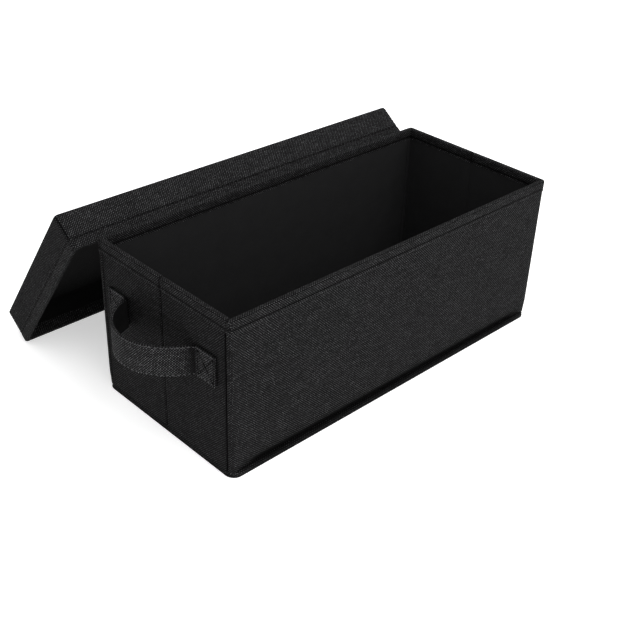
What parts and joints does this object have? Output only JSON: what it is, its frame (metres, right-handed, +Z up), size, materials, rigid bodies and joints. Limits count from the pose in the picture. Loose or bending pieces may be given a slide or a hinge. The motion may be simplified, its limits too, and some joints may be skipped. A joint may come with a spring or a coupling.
{
  "type": "disc storage box",
  "caption": "Long fabric-covered board storage box with a loose shoebox lid leaning behind it, sewn strap handles on both ends and walls that fold flat.",
  "frame": {"origin": "centre of the base's underside, on the surface that the box stands on", "axes": "+X along the box's length towards the right end, +Y across its width towards the back wall and the leaning lid, +Z up"},
  "size_m": [0.4266, 0.2885, 0.1545],
  "materials": {
    "woven_cover": "black coarse plain-weave polyester, matt with a slight sheen",
    "binding": "same black weave folded over the edges and topstitched",
    "strap": "black weave folded to a flat strap, edge stitched, with a sewn box at each end",
    "base_fabric": "black weave sewn as a rolled seam under the walls",
    "lining": "black non-woven lining with a fine pressed texture",
    "board": "grey-brown stiff board"
  },
  "bodies": {
    "box_body": {"back_wall_cover": "woven_cover", "back_wall_board": "board", "back_wall_lining": "lining", "back_wall_rim_binding": "binding", "bottom_panel": "base_fabric", "base_lip": "base_fabric", "back_left_corner_fold": "binding", "back_right_corner_fold": "binding"},
    "left_back_half": {"left_back_half_cover": "woven_cover", "left_back_half_board": "board", "left_back_half_lining": "lining", "left_back_half_rim_binding": "binding", "left_crease_fold": "binding", "left_handle_strap": "strap"},
    "left_front_half": {"left_front_half_cover": "woven_cover", "left_front_half_board": "board", "left_front_half_lining": "lining", "left_front_half_rim_binding": "binding", "front_left_corner_fold": "binding"},
    "front_wall": {"front_wall_cover": "woven_cover", "front_wall_board": "board", "front_wall_lining": "lining", "front_wall_rim_binding": "binding"},
    "right_back_half": {"right_back_half_cover": "woven_cover", "right_back_half_board": "board", "right_back_half_lining": "lining", "right_back_half_rim_binding": "binding", "right_crease_fold": "binding", "right_handle_strap": "strap"},
    "right_front_half": {"right_front_half_cover": "woven_cover", "right_front_half_board": "board", "right_front_half_lining": "lining", "right_front_half_rim_binding": "binding", "front_right_corner_fold": "binding"},
    "stiffener": {"stiffener_backing": "lining", "stiffener_board": "board", "stiffener_cover": "lining"},
    "lid": {"lid_cover": "woven_cover", "lid_lining": "lining", "lid_top_board": "board", "lid_front_board": "board", "lid_back_board": "board", "lid_left_board": "board", "lid_right_board": "board", "lid_front_hem": "binding", "lid_back_hem": "binding", "lid_left_hem": "binding", "lid_right_hem": "binding"}
  },
  "joints": [
    {"name": "left_back_fold", "type": "hinge", "parent": "box_body", "child": "left_back_half", "pos_m": [-0.17595, 0.0756, 0.07], "axis": [0, 0, 1], "range_deg": [0, 80], "deforming": ["left_handle_strap", "right_handle_strap"]},
    {"name": "left_crease_turn", "type": "hinge", "parent": "left_back_half", "child": "left_front_half", "pos_m": [-0.18075, 0, 0.07], "axis": [0, 0, 1], "range_deg": [-160, 0]},
    {"name": "front_left_fold", "type": "hinge", "parent": "left_front_half", "child": "front_wall", "pos_m": [-0.17595, -0.0756, 0.07], "axis": [0, 0, 1], "range_deg": [0, 80]},
    {"name": "right_back_fold", "type": "hinge", "parent": "box_body", "child": "right_back_half", "pos_m": [0.17595, 0.0756, 0.07], "axis": [0, 0, 1], "range_deg": [-80, 0]},
    {"name": "right_crease_turn", "type": "hinge", "parent": "right_back_half", "child": "right_front_half", "pos_m": [0.18075, 0, 0.07], "axis": [0, 0, 1], "range_deg": [0, 160]},
    {"name": "stiffener_lift", "type": "slide", "parent": "box_body", "child": "stiffener", "axis": [0, 0, 1], "range_m": [0, 0.15]},
    {"name": "lid_lift", "type": "slide", "parent": "box_body", "child": "lid", "axis": [0, 0, 1], "range_m": [0, 0.2]}
  ],
  "couplings": [
    {"joint": "left_crease_turn", "follows": "left_back_fold", "ratio": -2},
    {"joint": "front_left_fold", "follows": "left_back_fold", "ratio": 1},
    {"joint": "right_back_fold", "follows": "left_back_fold", "ratio": -1},
    {"joint": "right_crease_turn", "follows": "left_back_fold", "ratio": 2}
  ]
}
